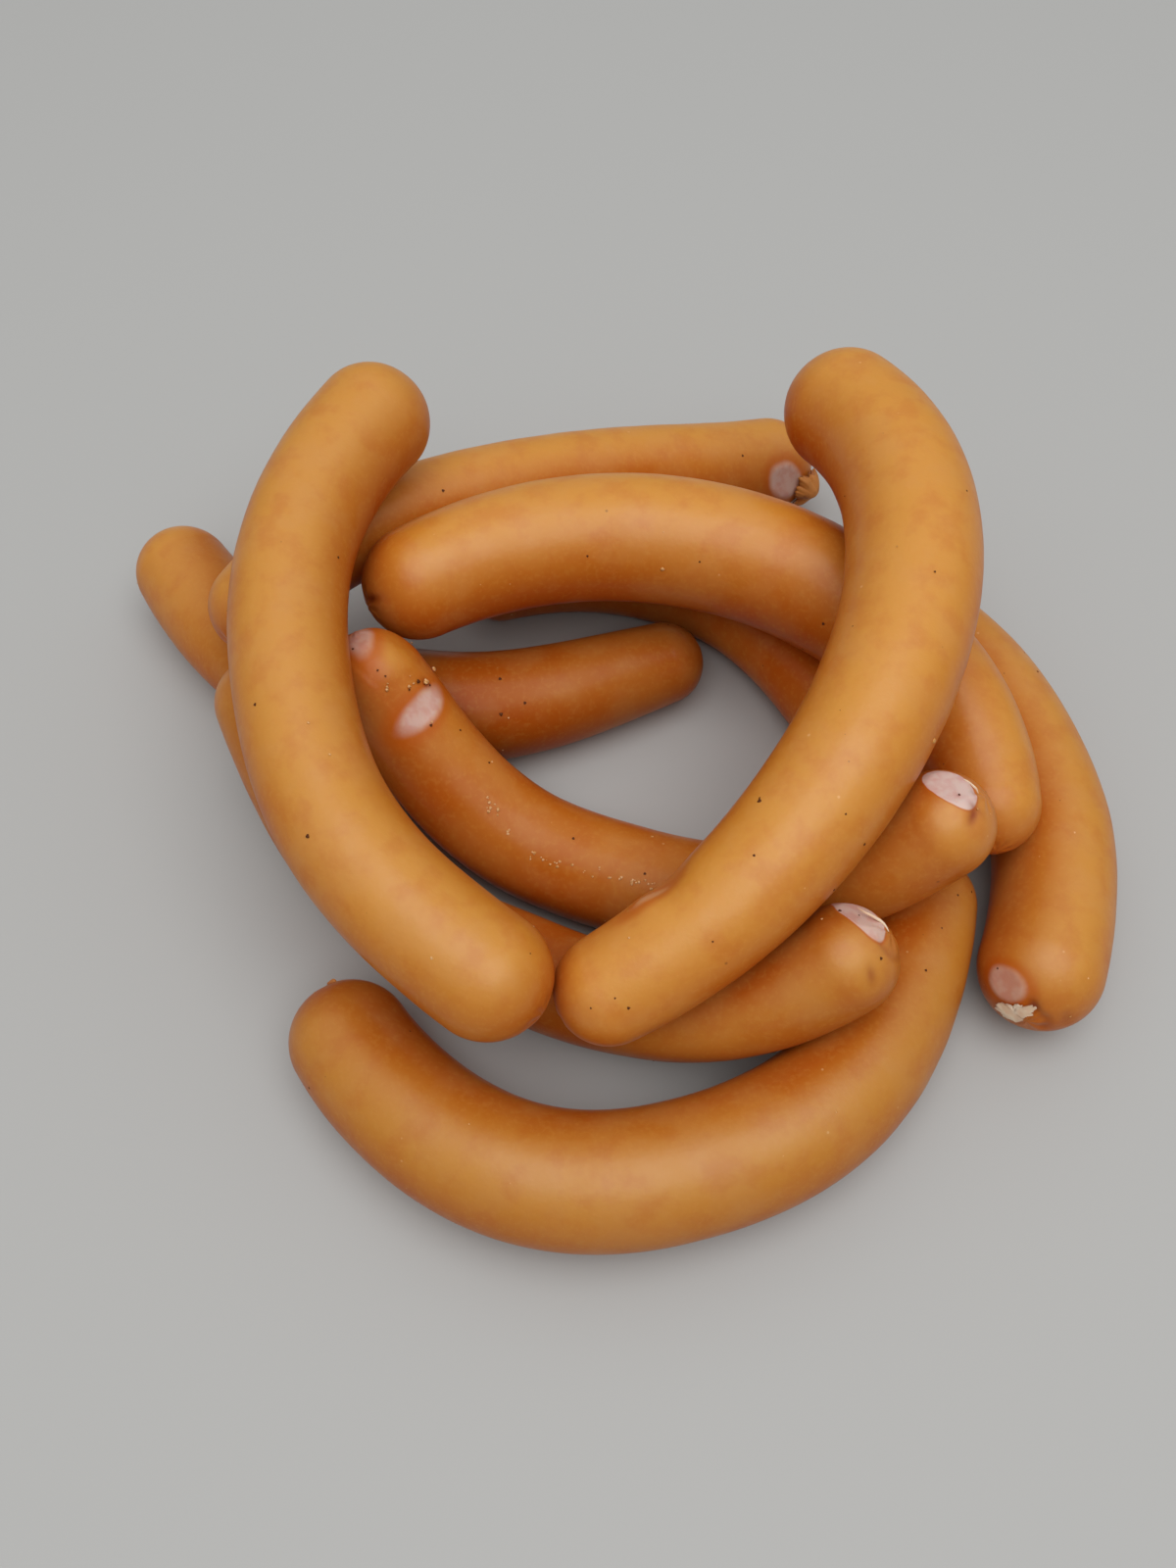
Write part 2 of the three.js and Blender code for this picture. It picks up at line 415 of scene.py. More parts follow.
def link_centreline(link, steps):
    """Centres, directions and radii along a link's middle line.

    The turn rate is read between the middles of five equal stretches and summed into a heading; the
    heading's cosine and sine are summed into x and y; z is the height of the leaning plane above x, y.
    The radius is the parabola through the three that are given.
    """
    share = (np.arange(steps) + 0.5) / steps
    fifths = (np.arange(len(link.bend)) + 0.5) / len(link.bend)
    turn = np.interp(share, fifths, np.radians(link.bend) * len(link.bend)) / steps
    angle = np.concatenate([[0], np.cumsum(turn)])
    angle += math.radians(link.heading) - angle[steps // 2]
    half = (angle[1:] + angle[:-1]) / 2
    start, middle, end = np.array(link.diameter) / 2
    step = (link.length - start - end) / steps
    x = np.concatenate([[0], np.cumsum(np.cos(half) * step)])
    y = np.concatenate([[0], np.cumsum(np.sin(half) * step)])
    x -= x[steps // 2]
    y -= y[steps // 2]
    slope = np.tan(np.radians(link.lean))
    centre = np.stack([link.at[0] + x, link.at[1] + y, link.at[2] + slope[0] * x + slope[1] * y], 1)
    run = np.stack([np.cos(angle), np.sin(angle), slope[0] * np.cos(angle) + slope[1] * np.sin(angle)], 1)
    run /= np.linalg.norm(run, axis=1)[:, None]
    s = np.linspace(0, 1, steps + 1)
    radius = start * (1 - s) * (1 - 2 * s) + 4 * middle * s * (1 - s) + end * s * (2 * s - 1)
    return centre, run, radius


def ring_axes(run):
    """The level axis to the left of the run, and the axis square to both that points up."""
    side = np.stack([-run[:, 1], run[:, 0], np.zeros(len(run))], 1)
    side /= np.linalg.norm(side, axis=1)[:, None]
    return side, np.cross(run, side)


class Skin:
    """A link's plain skin as a grid of rings and sides, before marks are pressed into it.

    A point at ring i and angle t is centre + radius (up cos t + left sin t). The caps are half spheres:
    their rings shrink with the sine of the angle from the tip. reach runs over the skin from the start
    tip, and polar is a ring's angle from the nearer tip.
    """

    def __init__(self, link):
        centre, run, radius = link_centreline(link, BODY_RINGS)
        cap = (np.arange(CAP_RINGS) + 0.5) / CAP_RINGS * math.pi / 2
        first, last = radius[0], radius[-1]
        flat = np.full(BODY_RINGS + 1, math.pi / 2)
        back = centre[0] - run[0] * (first * np.cos(cap))[:, None]
        ahead = (centre[-1] + run[-1] * (last * np.cos(cap))[:, None])[::-1]
        centres = np.concatenate([back, centre, ahead])
        runs = np.concatenate([np.repeat(run[:1], CAP_RINGS, 0), run, np.repeat(run[-1:], CAP_RINGS, 0)])
        radii = np.concatenate([first * np.sin(cap), radius, (last * np.sin(cap))[::-1]])
        body = np.concatenate([[0], np.cumsum(np.linalg.norm(np.diff(centre, axis=0), axis=1))])
        start_arc = first * math.pi / 2
        end_arc = start_arc + body[-1]
        end_cap = end_arc + last * (math.pi / 2 - cap[::-1])
        self.reach = np.concatenate([first * cap, start_arc + body, end_cap])
        self.total = end_arc + last * math.pi / 2
        self.polar = np.concatenate([cap, flat, cap[::-1]])
        ones = np.ones(CAP_RINGS)
        self.toward_end = np.concatenate([-ones, np.zeros(len(flat)), ones])
        self.around = (np.arange(SIDES) + 0.5) / SIDES * 2 * math.pi
        self.side, self.up = ring_axes(runs)
        self.runs, self.radii, self.centres = runs, radii, centres
        self.caps = ((centre[0], run[0], first, -1), (centre[-1], run[-1], last, 1))
        out = (self.up[:, None] * np.cos(self.around)[None, :, None]
               + self.side[:, None] * np.sin(self.around)[None, :, None])
        self.points = centres[:, None] + radii[:, None, None] * out
        self.normals = (out * np.sin(self.polar)[:, None, None]
                        + (runs * (self.toward_end * np.cos(self.polar))[:, None])[:, None])
        self.tips = np.stack([centre[0] - run[0] * first, centre[-1] + run[-1] * last])

    def spot(self, reach, around):
        """The point and outward direction at a reach and an angle around, with the axes along the run and
        across it in the skin's tangent plane."""
        angle = math.radians(around)

        def at(values):
            return np.array([np.interp(reach, self.reach, values[:, k]) for k in range(3)])

        run, up, side = at(self.runs), at(self.up), at(self.side)
        polar = np.interp(reach, self.reach, self.polar)
        toward_end = np.interp(reach, self.reach, self.toward_end)
        out = up * math.cos(angle) + side * math.sin(angle)
        point = at(self.centres) + out * np.interp(reach, self.reach, self.radii)
        normal = out * math.sin(polar) + run * toward_end * math.cos(polar)
        normal /= np.linalg.norm(normal)
        along = run - normal * (run @ normal)
        if np.linalg.norm(along) < 1e-6:
            along = up
        along /= np.linalg.norm(along)
        return point, normal, along, np.cross(normal, along)


def heap_offset():
    """From the table of places to the frame: the plain front link's box is set over its solid's box."""
    points = Skin(LINKS["front_link"]).points
    low, high = (np.array(corner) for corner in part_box("front_link"))
    offset = (low + high) / 2 / MM - (points.min((0, 1)) + points.max((0, 1))) / 2
    offset[2] = -GROUND_FLAT
    return offset


OFFSET = heap_offset()
SKINS = {name: Skin(link) for name, link in LINKS.items()}


def waves(points, rng, lengths, directions=3):
    """A slow swelling from -1 to 1: sine waves of the given lengths in random directions, each weighted
    by its length."""
    total = np.zeros(points.shape[:-1])
    for length in lengths:
        for _ in range(directions):
            way = rng.normal(size=3)
            way *= 2 * math.pi / length / np.linalg.norm(way)
            total += length * np.sin(points @ way + rng.uniform(0, 2 * math.pi))
    return total / (directions * sum(lengths))


def oval_distance(skin, mark):
    """How far inside an oval mark each point lies: the smaller half size times 1 less the length of the
    point's place in units of the half sizes, and its height along the mark's direction."""
    point, normal, along, across = skin.spot(mark.reach, mark.around)
    from_mark = skin.points - point
    turn = math.radians(mark.turn)
    u = from_mark @ (along * math.cos(turn) + across * math.sin(turn))
    v = from_mark @ (across * math.cos(turn) - along * math.sin(turn))
    height = from_mark @ normal
    inside = min(mark.half) * (1 - np.hypot(u / mark.half[0], v / mark.half[1]))
    other_side = skin.normals @ normal < 0.2
    return np.where(other_side, FAR_OUTSIDE, inside), height, normal


def hidden_share(skin, name):
    """How much of each point's sky the other links hide, from 0 to 1.

    Every short length of another link hides twice its radius times its length over pi times its
    distance squared, times the cosine between the normal and the way to it. It fades in from a little
    below the point's level to a little above it.
    """
    hidden = np.zeros(skin.points.shape[:2])
    for other, neighbour in SKINS.items():
        if other == name:
            continue
        body = slice(CAP_RINGS, CAP_RINGS + BODY_RINGS + 1, NEIGHBOUR_STRIDE)
        centres, radii = neighbour.centres[body], neighbour.radii[body]
        length = np.linalg.norm(np.diff(centres, axis=0), axis=1).mean()
        for centre, radius in zip(centres, radii):
            way = centre - skin.points
            distance = np.linalg.norm(way, axis=-1)
            facing = np.einsum("ijk,ijk->ij", way, skin.normals) / distance
            above = smoothstep((way[..., 2] / distance + LEVEL_FADE) / (2 * LEVEL_FADE))
            hidden += np.maximum(facing, 0) * above * 2 * radius * length / (math.pi * distance ** 2)
    return np.minimum(hidden, 1)


def dress_skin(name, rng, swelling):
    """Presses a link's marks into its skin and gives the moved points with the values its material reads,
    painted light and shade among them.

    The skin swells by slow waves. Inside a touch mark it is cut off at a plane. A dent sinks it by its
    depth times e to the minus the squared place in the oval. A tip fold sinks it by its depth times e to
    the minus the squared distance from the fold's circle. Towards each tip it gathers into shallow
    pleats: a cosine around the tip that fades in and out with the angle from it.
    """
    skin = SKINS[name]
    shift = swelling * waves(skin.points, rng, (55, 28, 13))
    pale = np.full(skin.points.shape[:2], FAR_OUTSIDE)
    dark = np.zeros_like(pale)
    tone = np.zeros_like(pale)
    for mark in (m for m in TOUCH_MARKS if m.link == name):
        inside, height, normal = oval_distance(skin, mark)
        wobble = MARK_WOBBLE * waves(skin.points, rng, (9, 5, 2.5))
        blend = smoothstep((inside + wobble) / max(mark.soft, 0.6))
        shift -= blend * np.maximum(height + mark.flat, 0) * np.clip(skin.normals @ normal, 0, 1)
        pale = np.maximum(pale, (inside + wobble) / mark.soft)
        tone = np.maximum(tone, mark.tone * smoothstep((inside + wobble) / mark.soft + 3))
    for dent in (d for d in DENTS if d.link == name):
        inside, _, _ = oval_distance(skin, dent)
        place = 1 - inside / min(dent.half)
        bowl = np.exp(-(place ** 2))
        shift -= dent.depth * bowl
        # Painted shade in the dent's hollow.
        dark = np.maximum(dark, dent.dark * bowl)
    for fold in (f for f in TIP_FOLDS if f.link == name):
        radius = skin.caps[fold.at_end][2]
        near = (skin.toward_end == (1 if fold.at_end else -1))[:, None]
        off = (skin.polar - math.radians(fold.polar))[:, None] * radius
        wrapped = (np.degrees(skin.around) - fold.around + 180) % 360 - 180
        along = smoothstep((fold.half_span - np.abs(wrapped)) / FOLD_FADE)[None]
        groove = near * along * np.exp(-((off / (fold.width / 2)) ** 2))
        shift -= fold.depth * groove
        # Painted shade in the fold's crease.
        dark = np.maximum(dark, FOLD_PAINTED_SHADE * groove)
    pleats = np.cos(skin.around * rng.integers(5, 8) + rng.uniform(0, 6) + 0.6 * np.sin(2 * skin.around))
    polar_degrees = np.degrees(skin.polar)[:, None]
    gather = np.exp(-(((polar_degrees - PLEAT_POLAR) / PLEAT_SPREAD) ** 2))
    gather *= np.abs(skin.toward_end)[:, None] > 0
    shift -= PLEAT_DEPTH * gather * (1 + pleats[None])
    from_tip = np.minimum(skin.reach, skin.total - skin.reach)
    tip = smoothstep((TIP_REACH - from_tip) / TIP_FADE)[:, None] + np.zeros_like(pale)
    points = skin.points + skin.normals * shift[..., None]
    tips = skin.tips.copy()
    for end, (_, run, _, sign) in enumerate(skin.caps):
        ring = -1 if end else 0
        tips[end] += run * sign * shift[ring].mean()
    hidden = hidden_share(skin, name)
    smoke = TONE_AND_SHADE[name]
    values = {
        # open paints light and shade: golden tops, and deeper, redder sides and skin under the neighbours.
        "open": np.clip((1 + skin.normals[..., 2]) / 2 - smoke.redden * hidden, 0, 1),
        # shade makes each link darker by its own tone and by painted shade where the neighbours hide its
        # sky.
        "shade": 1 - smoke.light * (1 - smoke.darken * np.minimum(hidden, 0.8)),
        "pale": np.clip(pale, -3, 3) / 6 + 0.5,
        "tone": tone,
        # dark holds the painted shade in dents and folds.
        "dark": np.clip(dark, 0, 1),
        "tip": tip,
    }
    return points, tips, values


# Meshes.


def tube_faces(rings, sides):
    """Quads between neighbouring rings, and a fan of triangles to one tip at each end."""
    i, j = np.meshgrid(np.arange(rings - 1), np.arange(sides), indexing="ij")
    a = i * sides + j
    b = i * sides + (j + 1) % sides
    quads = np.stack([a, a + sides, b + sides, b], -1).reshape(-1, 4)
    k = np.arange(sides)
    start_tip = rings * sides
    last = (rings - 1) * sides
    start = np.stack([np.full(sides, start_tip), k, (k + 1) % sides], 1)
    end = np.stack([np.full(sides, start_tip + 1), last + (k + 1) % sides, last + k], 1)
    return quads, np.concatenate([start, end])


def repeated(faces, points_each, count):
    """The same faces for each of count like bodies that follow one another in the vertex list."""
    steps = np.arange(count)[:, None, None] * points_each
    return (faces[None] + steps).reshape(-1, faces.shape[1])


def build_mesh(name, points, quads, triangles, material):
    """A smooth piece at the origin that rides on the root, from points in the table of places."""
    places = (points + OFFSET) * MM
    mesh = bpy.data.meshes.new(name)
    mesh.vertices.add(len(places))
    mesh.vertices.foreach_set("co", places.astype(np.float32).ravel())
    loops = np.concatenate([quads.ravel(), triangles.ravel()]).astype(np.int32)
    sizes = np.concatenate([np.full(len(quads), 4), np.full(len(triangles), 3)]).astype(np.int32)
    mesh.loops.add(len(loops))
    mesh.loops.foreach_set("vertex_index", loops)
    mesh.polygons.add(len(sizes))
    starts = np.concatenate([[0], np.cumsum(sizes)[:-1]]).astype(np.int32)
    mesh.polygons.foreach_set("loop_start", starts)
    mesh.polygons.foreach_set("use_smooth", np.ones(len(sizes), bool))
    mesh.update(calc_edges=True)
    if mesh.validate():
        raise RuntimeError(name + " has faulty faces")
    mesh.materials.append(material)
    piece = bpy.data.objects.new(name, mesh)
    bpy.context.scene.collection.objects.link(piece)
    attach(piece, "root")
    return piece


def set_attribute(piece, name, grid, tips):
    attribute = piece.data.attributes.new(name, "FLOAT", "POINT")
    attribute.data.foreach_set("value", np.concatenate([grid.ravel(), tips]).astype(np.float32))


# Materials.


class Shader:
    """A material's node tree, with short calls to add nodes and link them."""

    def __init__(self, name):
        self.material = bpy.data.materials.new(name)
        self.material.use_nodes = True
        self.tree = self.material.node_tree
        self.bsdf = self.tree.nodes["Principled BSDF"]
        self.coords = self.tree.nodes.new("ShaderNodeTexCoord").outputs["Object"]

    def feed(self, socket, value):
        if isinstance(value, bpy.types.NodeSocket):
            self.tree.links.new(value, socket)
        elif isinstance(socket.default_value, float):
            socket.default_value = value
        else:
            socket.default_value = (*value, 1)[:len(socket.default_value)]

    def set(self, **inputs):
        for key, value in inputs.items():
            self.feed(self.bsdf.inputs[key.replace("_", " ")], value)

    def mix(self, share, a, b):
        """Colour a where share is 0 and colour b where it is 1."""
        node = self.tree.nodes.new("ShaderNodeMix")
        node.data_type = "RGBA"
        self.feed(node.inputs[0], share)
        self.feed(node.inputs[6], a)
        self.feed(node.inputs[7], b)
        return node.outputs[2]

    def math(self, operation, a, b=0.0):
        node = self.tree.nodes.new("ShaderNodeMath")
        node.operation = operation
        self.feed(node.inputs[0], a)
        self.feed(node.inputs[1], b)
        return node.outputs[0]

    def remap(self, value, low, high, to_low=0.0, to_high=1.0):
        node = self.tree.nodes.new("ShaderNodeMapRange")
        node.interpolation_type = "SMOOTHSTEP"
        for key, number in zip(range(5), (value, low, high, to_low, to_high)):
            self.feed(node.inputs[key], number)
        return node.outputs[0]

    def linear_remap(self, value, low, high):
        """Straight from 0 at low to 1 at high, held beyond them."""
        node = self.tree.nodes.new("ShaderNodeMapRange")
        for key, number in zip(range(3), (value, low, high)):
            self.feed(node.inputs[key], number)
        return node.outputs[0]

    def noise(self, size, detail=3.0, roughness=0.55):
        node = self.tree.nodes.new("ShaderNodeTexNoise")
        self.feed(node.inputs["Vector"], self.coords)
        node.inputs["Scale"].default_value = 1 / (size * MM)
        node.inputs["Detail"].default_value = detail
        node.inputs["Roughness"].default_value = roughness
        return node.outputs["Fac"]

    def dots(self, spacing, radius, share):
        """Round dots of about the given radius in a share of the cells of a loose grid."""
        node = self.tree.nodes.new("ShaderNodeTexVoronoi")
        self.feed(node.inputs["Vector"], self.coords)
        node.inputs["Scale"].default_value = 1 / (spacing * MM)
        parts = self.tree.nodes.new("ShaderNodeSeparateColor")
        self.tree.links.new(node.outputs["Color"], parts.inputs[0])
        edge = radius / spacing
        size = self.remap(parts.outputs[1], 0, 1, 0.5 * edge, 1.4 * edge)
        near = self.remap(self.math("DIVIDE", node.outputs["Distance"], size), 0.5, 1.0, 1.0, 0.0)
        chosen = self.math("LESS_THAN", parts.outputs[0], share)
        return self.math("MULTIPLY", near, chosen)

    def attribute(self, name):
        node = self.tree.nodes.new("ShaderNodeAttribute")
        node.attribute_name = name
        return node.outputs["Fac"]

    def bump(self, height, distance, strength=1.0, under=None):
        node = self.tree.nodes.new("ShaderNodeBump")
        node.inputs["Strength"].default_value = strength
        node.inputs["Distance"].default_value = distance * MM
        self.feed(node.inputs["Height"], height)
        if under is not None:
            self.tree.links.new(under, node.inputs["Normal"])
        return node.outputs["Normal"]


def smoked_skin(settings):
    """Casing of a smoked link, with painted light and shade: golden where it lies open to the sky, deep
    orange brown where little sky reaches it and darker under the neighbours, with soft clouds, peach
    patches, faint mottling, pin dots under the surface, pale touch marks with a deeper ring around them, and
    painted shade in the hollows."""
    shader = Shader("smoked_skin")
    golden, deep = tuple(settings.golden), tuple(settings.deep)
    # Painted light and shade: golden where the skin faces the open sky, deep on its sides and under the
    # neighbours.
    is_open = shader.math("POWER", shader.linear_remap(shader.attribute("open"), 0.4, 0.95), 1.4)
    color = shader.mix(is_open, deep, golden)
    clouds = shader.remap(shader.noise(34, 2.0), 0.35, 0.68)
    color = shader.mix(shader.math("MULTIPLY", clouds, 0.3), color, tuple(settings.honey))
    patches = shader.remap(shader.noise(13, 3.0), 0.45, 0.65)
    color = shader.mix(shader.math("MULTIPLY", patches, 0.22), color, tuple(settings.peach))
    mottle = shader.remap(shader.noise(7, 3.0), 0.45, 0.7)
    color = shader.mix(shader.math("MULTIPLY", mottle, 0.26), color, deep)
    grain = shader.remap(shader.noise(1.3, 3.0), 0.48, 0.7)
    color = shader.mix(shader.math("MULTIPLY", grain, 0.2), color, tuple(settings.honey))
    color = shader.mix(shader.math("MULTIPLY", shader.attribute("tip"), 0.22), color, deep)
    pale_dots = shader.dots(7.0, 0.34, 0.45)
    color = shader.mix(shader.math("MULTIPLY", pale_dots, 0.45), color, tuple(settings.pale_dot))
    dark_dots = shader.dots(8.0, 0.36, 0.5)
    color = shader.mix(shader.math("MULTIPLY", dark_dots, 0.5), color, tuple(settings.pepper))
    # Painted shade: each link is made darker by its own tone and more where its neighbours hide the sky.
    color = shader.mix(shader.attribute("shade"), color, (0.0, 0.0, 0.0))
    mark = shader.attribute("pale")
    ring = shader.math("MULTIPLY", shader.remap(mark, 0.30, 0.47), shader.remap(mark, 0.5, 0.56, 1.0, 0.0))
    color = shader.mix(shader.math("MULTIPLY", ring, 0.6), color, deep)
    blush = shader.mix(shader.remap(shader.noise(3.5, 2.0), 0.4, 0.65), tuple(settings.touch_mark),
                       tuple(settings.touch_blush))
    inside = shader.remap(mark, 0.47, 0.6)
    color = shader.mix(shader.math("MULTIPLY", inside, shader.attribute("tone")), color, blush)
    # Painted shade in pits and creases.
    color = shader.mix(shader.attribute("dark"), color, tuple(settings.hollow))
    dry = shader.math("MULTIPLY", is_open, 0.1)
    rough = shader.remap(shader.noise(8), 0.3, 0.7, settings.roughness - 0.14, settings.roughness - 0.05)
    undulation = shader.bump(shader.noise(3.2, 2.0), 0.16, 0.45)
    normal = shader.bump(shader.noise(0.9, 3.0), 0.07, 0.5, undulation)
    wet = shader.math("ADD", shader.remap(is_open, 0.1, 0.9, settings.coat, 0.0), settings.coat)
    shader.set(Base_Color=color, Roughness=shader.math("ADD", rough, dry), Coat_Weight=wet,
               Coat_Roughness=0.18, Specular_IOR_Level=shader.remap(is_open, 0.1, 1.0, 0.08, 0.5),
               Subsurface_Weight=0.12, Subsurface_Radius=(1.0, 0.4, 0.15), Subsurface_Scale=2 * MM,
               Normal=normal)
    return shader.material


def casing_material(name, base, shade, thin):
    """Dry torn casing: a pale or browned sheet with darker folds and a slight crinkle."""
    shader = Shader(name)
    folds = shader.remap(shader.noise(4.0, 2.0), 0.45, 0.62)
    color = shader.mix(shader.math("MULTIPLY", folds, 0.7), base, shade)
    color = shader.mix(shader.math("MULTIPLY", shader.dots(2.6, 0.2, 0.2), 0.3), color, thin)
    normal = shader.bump(shader.noise(1.2, 2.0), 0.1, 0.4)
    shader.set(Base_Color=color, Roughness=0.6, Subsurface_Weight=0.15, Subsurface_Radius=(1.0, 0.6, 0.4),
               Subsurface_Scale=0.6 * MM, Normal=normal)
    return shader.material


def crumb_material(name, base, shade):
    """Pepper or a crumb of meat: two tones in fine grain."""
    shader = Shader(name)
    grain = shader.remap(shader.noise(0.4, 2.0), 0.4, 0.6)
    shader.set(Base_Color=shader.mix(grain, base, shade), Roughness=0.6, Specular_IOR_Level=0.2)
    return shader.material


# Pieces.


def build_skins(settings, rng):
    """One closed skin for each link, in place of its plain solid."""
    material = smoked_skin(settings)
    for name in LINKS:
        points, tips, values = dress_skin(name, rng, settings.swelling / MM)
        rings, sides = points.shape[:2]
        vertices = np.concatenate([points.reshape(-1, 3), tips])
        vertices[:, 2] = np.maximum(vertices[:, 2], GROUND_FLAT)
        quads, triangles = tube_faces(rings, sides)
        piece = build_mesh("skin_of_" + name, vertices, quads, triangles, material)
        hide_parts(name)
        for key, grid in values.items():
            set_attribute(piece, key, grid, [grid[0].mean(), grid[-1].mean()])


def scrap_surface(scrap, rng):
    """A torn scrap as one sheet: a ragged oval laid over the cap.

    The rings run from the underside's rim in to its middle, cross to the top's middle and run out to its
    rim. A fan closes each rim to that side's own middle, so both sides are doubled by flat triangles and
    the rim is left open between them.

    A point at angle t and share q of the way to the rim lies along the scrap's way out, moved along and
    square to its turned width by half its sizes times the rim's wander times q. It stands off the skin
    by the gap and curl times q squared, and crumples by slow waves; the top lies over the underside by a
    thickness that falls with q squared.
    """
    sides, rings = 160, 26
    centre, _, radius, _ = SKINS[scrap.link].caps[0]
    toward = np.array(scrap.toward) / np.linalg.norm(scrap.toward)
    level = np.array([-toward[1], toward[0], 0]) / np.hypot(toward[0], toward[1])
    turn = math.radians(scrap.turn)
    across = level * math.cos(turn) + np.cross(toward, level) * math.sin(turn)
    up_cap = np.cross(toward, across)
    t = np.arange(sides) / sides * 2 * math.pi
    q = (np.arange(rings) + 1) / rings
    ragged = 1 + SCRAP_RAGGED * (np.sin(3 * t + 1) + 0.6 * np.sin(7 * t))
    torn = sum(depth * np.sin(teeth * t + rng.uniform(0, 6)) for teeth, depth in SCRAP_TEARS)
    rim = q[:, None] * (ragged + torn * q[:, None] ** 2)
    sideways = scrap.width / 2 * rim * np.cos(t) / radius
    upwards = scrap.height / 2 * rim * np.sin(t) / radius
    way = toward + sideways[..., None] * across + upwards[..., None] * up_cap
    way /= np.linalg.norm(way, axis=-1)[..., None]
    crumple = scrap.crumple * waves(way * radius, rng, (7, 4)) * 2
    stand = SCRAP_GAP + scrap.curl * q[:, None] ** 2 + np.maximum(crumple, -0.25)
    thin = SCRAP_RIM + (scrap.thickness - SCRAP_RIM) * (1 - q[:, None] ** 2)
    top = centre + way * (radius + stand + thin)[..., None]
    under = centre + way * (radius + stand)[..., None]
    points = np.concatenate([top[::-1], under])
    tips = np.stack([top[0].mean(0), under[0].mean(0)])
    return points[::-1], tips[::-1]


def build_scraps(settings, rng):
    """The torn scraps of casing at two link ends."""
    materials = casing_materials(settings)
    for name, scrap in SCRAPS.items():
        points, tips = scrap_surface(scrap, rng)
        quads, triangles = tube_faces(*points.shape[:2])
        vertices = np.concatenate([points.reshape(-1, 3), tips])
        piece = build_mesh("torn_" + name, vertices, quads, triangles,
                           materials[scrap.material])
        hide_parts(name)


def rim_surface(rim, rng):
    """A thin standing edge: a flattened round profile carried along a path over the cap.

    The path runs straight between the given ways out from the cap's centre. The profile is an oval
    around the path, as high as the rim's height and RIM_WIDTH of that wide, so that half of it stands
    out. It fades to nothing at both ends and wanders in height, and the path wanders sideways.
    """
    rings, sides = 90, 16
    centre, _, radius, _ = SKINS[rim.link].caps[rim.at_end]
    given = np.array(rim.way)
    given /= np.linalg.norm(given, axis=1)[:, None]
    place = np.linspace(0, len(given) - 1, rings)
    way = np.stack([np.interp(place, np.arange(len(given)), given[:, k]) for k in range(3)], 1)
    way /= np.linalg.norm(way, axis=1)[:, None]
    along = np.gradient(way, axis=0)
    along /= np.linalg.norm(along, axis=1)[:, None]
    across = np.cross(way, along)
    share = np.linspace(0, 1, rings)
    height = rim.height * np.sin(math.pi * share) ** 0.5
    height = height * (1 + 0.5 * waves(way * radius, rng, (3, 1.6, 0.9)))
    lean = 0.5 * rim.height * waves(way * radius + 40, rng, (5, 2.4))
    t = np.arange(sides) / sides * 2 * math.pi
    path = centre + way * radius + across * lean[:, None]
    points = (path[:, None] + way[:, None] * (height[:, None] * np.cos(t) / 2)[..., None]
              + across[:, None] * (RIM_WIDTH / 2 * height[:, None] * np.sin(t))[..., None])
    return points, path[[0, -1]]


def build_rims(settings, rng):
    """Thin torn edges of casing that stand up at three tips."""
    materials = casing_materials(settings)
    for name, rim in RIMS.items():
        points, tips = rim_surface(rim, rng)
        quads, triangles = tube_faces(*points.shape[:2])
        vertices = np.concatenate([points.reshape(-1, 3), tips])
        build_mesh("torn_" + name, vertices, quads, triangles, materials[rim.material])


def casing_materials(settings):
    pale, shade, browned = tuple(settings.pale), tuple(settings.shade), tuple(settings.browned)
    return {
        "torn_casing": casing_material("torn_casing", pale, shade, shade),
        "browned_casing": casing_material("browned_casing", browned, linear((150, 80, 26)), pale),
    }


def lumps(centres, normals, radii, flatness, rng):
    """Small uneven balls that sit in the skin, as one grid for each.

    A point at polar angle a and turn b is centre + radius ((sin a cos b) x + (sin a sin b) y + flatness
    (cos a) normal), with its radius swelling by a sine of 3 b plus 2 a.
    """
    rows, sides = 5, 10
    a = (np.arange(rows) + 0.5) / rows * math.pi
    b = np.arange(sides) / sides * 2 * math.pi
    helper = np.where(np.abs(normals[:, 2:]) < 0.9, [[0, 0, 1]], [[1, 0, 0]])
    x = np.cross(normals, helper)
    x /= np.linalg.norm(x, axis=1)[:, None]
    y = np.cross(normals, x)
    phase = rng.uniform(0, 6, (len(centres), 1, 1))
    size = radii[:, None, None] * (1 + 0.22 * np.sin(3 * b[None, None] + 2 * a[None, :, None] + phase))
    flat_x = np.sin(a)[None, :, None] * np.cos(b) * size
    flat_y = np.sin(a)[None, :, None] * np.sin(b) * size
    rise = np.cos(a)[None, :, None] * flatness[:, None, None] * size
    level = flat_x[..., None] * x[:, None, None] + flat_y[..., None] * y[:, None, None]
    grid = centres[:, None, None] + level + rise[..., None] * normals[:, None, None]
    tip = normals * (radii * flatness)[:, None]
    tips = np.stack([centres + tip, centres - tip], 1)
    body = np.concatenate([grid.reshape(len(centres), -1, 3), tips], 1)
    return body.reshape(-1, 3), rows, sides, len(centres)


